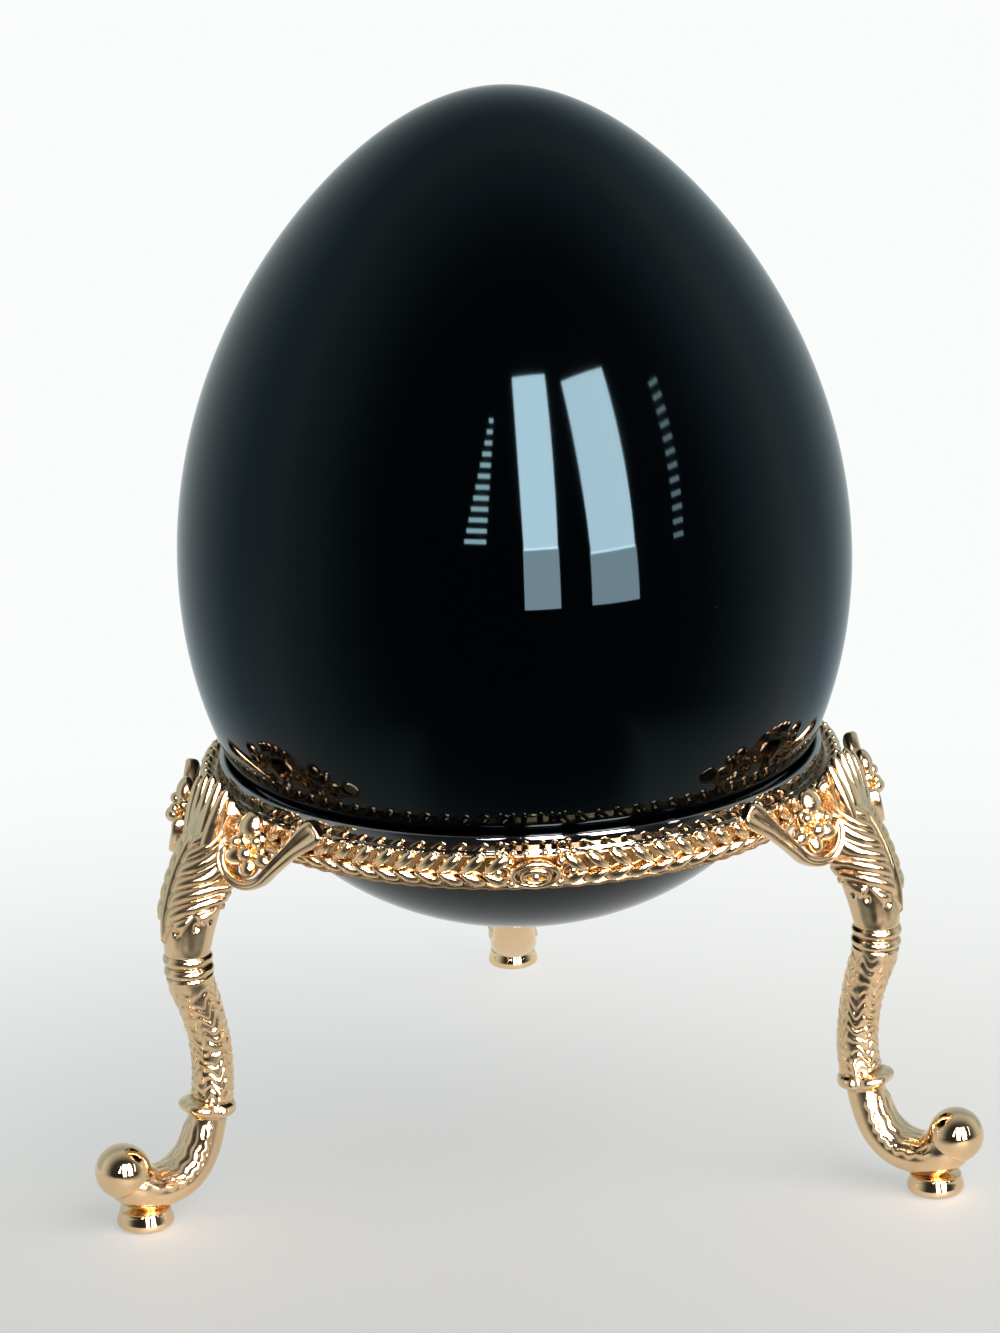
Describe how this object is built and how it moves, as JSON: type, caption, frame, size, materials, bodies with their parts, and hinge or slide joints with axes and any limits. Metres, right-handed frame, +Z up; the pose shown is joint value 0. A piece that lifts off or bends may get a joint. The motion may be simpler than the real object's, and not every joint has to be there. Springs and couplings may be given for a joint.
{
  "type": "decorative egg on stand",
  "caption": "Polished dark glass egg standing in a gilt cast stand: a laurel-banded seat ring on cabriole legs with scroll brackets, ball-ended curls and turned foot pads.",
  "frame": {"origin": "where the egg's axis meets the surface the stand rests on", "axes": "+Z up the egg's axis; the rear leg stands on +Y; the object is seen from -Y"},
  "size_m": [0.0778, 0.0746, 0.0958],
  "materials": {
    "egg": "polished, opaque black",
    "stand": "polished, gold plated",
    "screw": "bright"
  },
  "bodies": {
    "stand": {"seat_ring": "stand", "laurel_band": "stand", "leg_rear": "stand", "leg_left": "stand", "leg_right": "stand", "foot_pad_rear": "stand", "foot_pad_left": "stand", "foot_pad_right": "stand", "scroll_rear_a": "stand", "scroll_rear_b": "stand", "scroll_left_a": "stand", "scroll_left_b": "stand", "scroll_right_a": "stand", "scroll_right_b": "stand", "leg_screws": "screw"},
    "egg": {"egg": "egg"}
  },
  "joints": [
    {"name": "egg_lift", "type": "slide", "parent": "stand", "child": "egg", "axis": [0, 0, 1], "range_m": [0, 0.025]}
  ]
}
